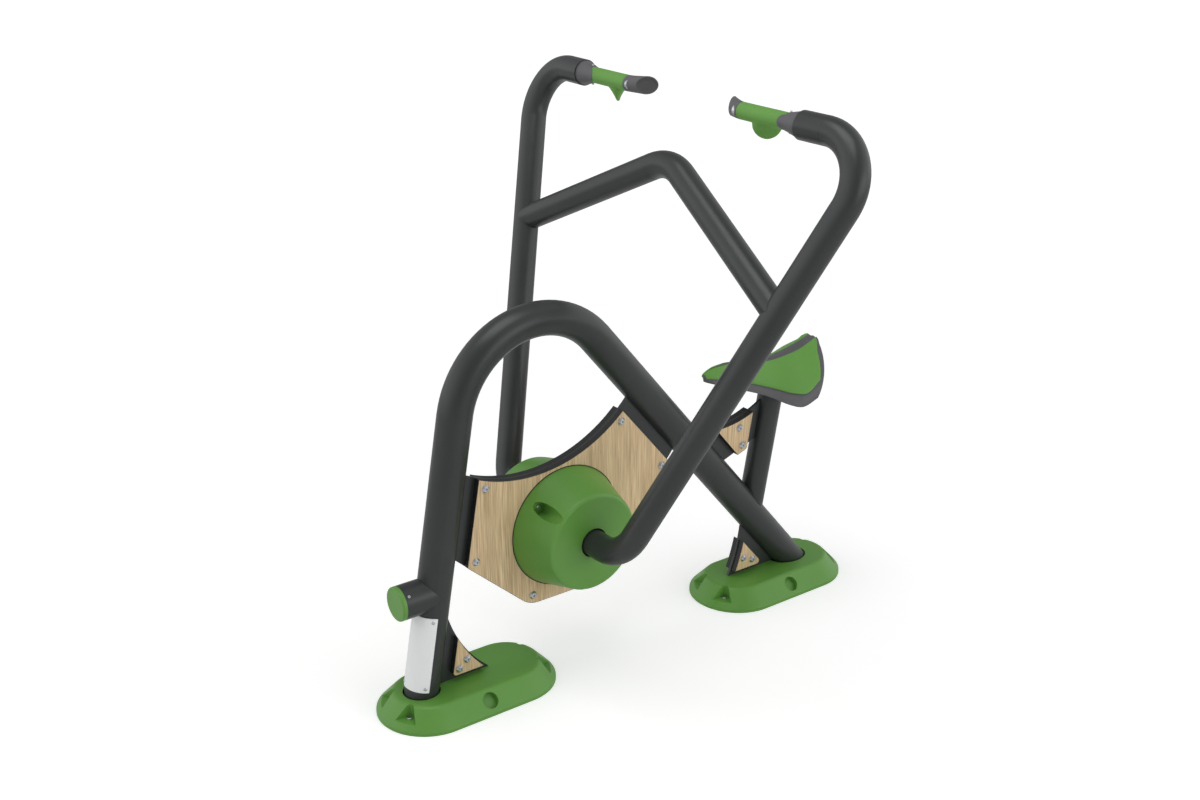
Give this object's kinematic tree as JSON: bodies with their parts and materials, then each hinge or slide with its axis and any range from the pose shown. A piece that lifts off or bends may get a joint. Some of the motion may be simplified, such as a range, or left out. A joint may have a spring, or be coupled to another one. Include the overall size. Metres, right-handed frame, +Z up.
{
  "type": "outdoor bench press station",
  "caption": "Outdoor fitness station with a bent tube frame on covered feet, a saddle, and a damped press arm that swings forward on a covered pivot.",
  "frame": {"origin": "on the ground, midway between the two feet, in the middle plane", "axes": "+Z up, +X from the front foot to the saddle foot, -Y on the left of a person on the saddle"},
  "size_m": [1.314, 1.1252, 1.2887],
  "materials": {
    "frame_paint": "satin powder coat",
    "stainless": "brushed",
    "bearing_steel": "ground",
    "green_plastic": "fine moulded grain",
    "green_soft": "soft moulded skin",
    "wood_panel": "wood-faced laminate, satin",
    "grey_plastic": "fine moulded grain",
    "black_rubber": "matte",
    "white_plate": "semi-gloss, bare"
  },
  "bodies": {
    "frame": {"main_tube": "frame_paint", "stub_tube": "frame_paint", "stub_cap": "green_plastic", "stub_screw": "stainless", "instruction_plate": "white_plate", "plate_rivets": "stainless", "web_plate": "frame_paint", "web_panel_left": "wood_panel", "web_panel_right": "wood_panel", "front_gusset": "frame_paint", "front_panel_left": "wood_panel", "front_panel_right": "wood_panel", "rear_gusset": "frame_paint", "rear_panel_left": "wood_panel", "rear_panel_right": "wood_panel", "seat_bracket": "frame_paint", "bracket_panel_left": "wood_panel", "bracket_panel_right": "wood_panel", "panel_bolts": "stainless", "panel_nuts": "stainless", "seat_post": "frame_paint", "seat_plate": "frame_paint", "seat_bolts": "stainless", "seat_shell": "grey_plastic", "seat_pad_left": "green_soft", "seat_pad_right": "green_soft", "front_base_plate": "frame_paint", "rear_base_plate": "frame_paint", "front_foot_cover": "green_plastic", "rear_foot_cover": "green_plastic", "foot_screws": "stainless", "hub_housing": "frame_paint", "bearing_outer_rings": "bearing_steel", "bearing_balls": "bearing_steel", "retaining_rings": "bearing_steel", "pivot_cover_left": "green_plastic", "pivot_cover_right": "green_plastic", "pivot_cover_screws": "stainless", "damper_housing": "frame_paint", "stop_bracket": "frame_paint", "stop_buffers": "black_rubber", "inner_bolts": "stainless"},
    "press_arm": {"axle": "bearing_steel", "bearing_inner_rings": "bearing_steel", "arm_hubs": "frame_paint", "arm_pins": "bearing_steel", "stop_lever": "frame_paint", "damper_rotor": "frame_paint", "arm_left": "frame_paint", "arm_right": "frame_paint", "crossbar": "frame_paint", "handle_bars": "stainless", "grip_collars": "grey_plastic", "grip_left": "green_soft", "grip_right": "green_soft", "grip_caps": "grey_plastic", "grip_screws": "stainless"}
  },
  "joints": [
    {"name": "press", "type": "hinge", "parent": "frame", "child": "press_arm", "pos_m": [-0.1855, 0, 0.3465], "axis": [0, -1, 0], "range_deg": [0, 35]}
  ]
}
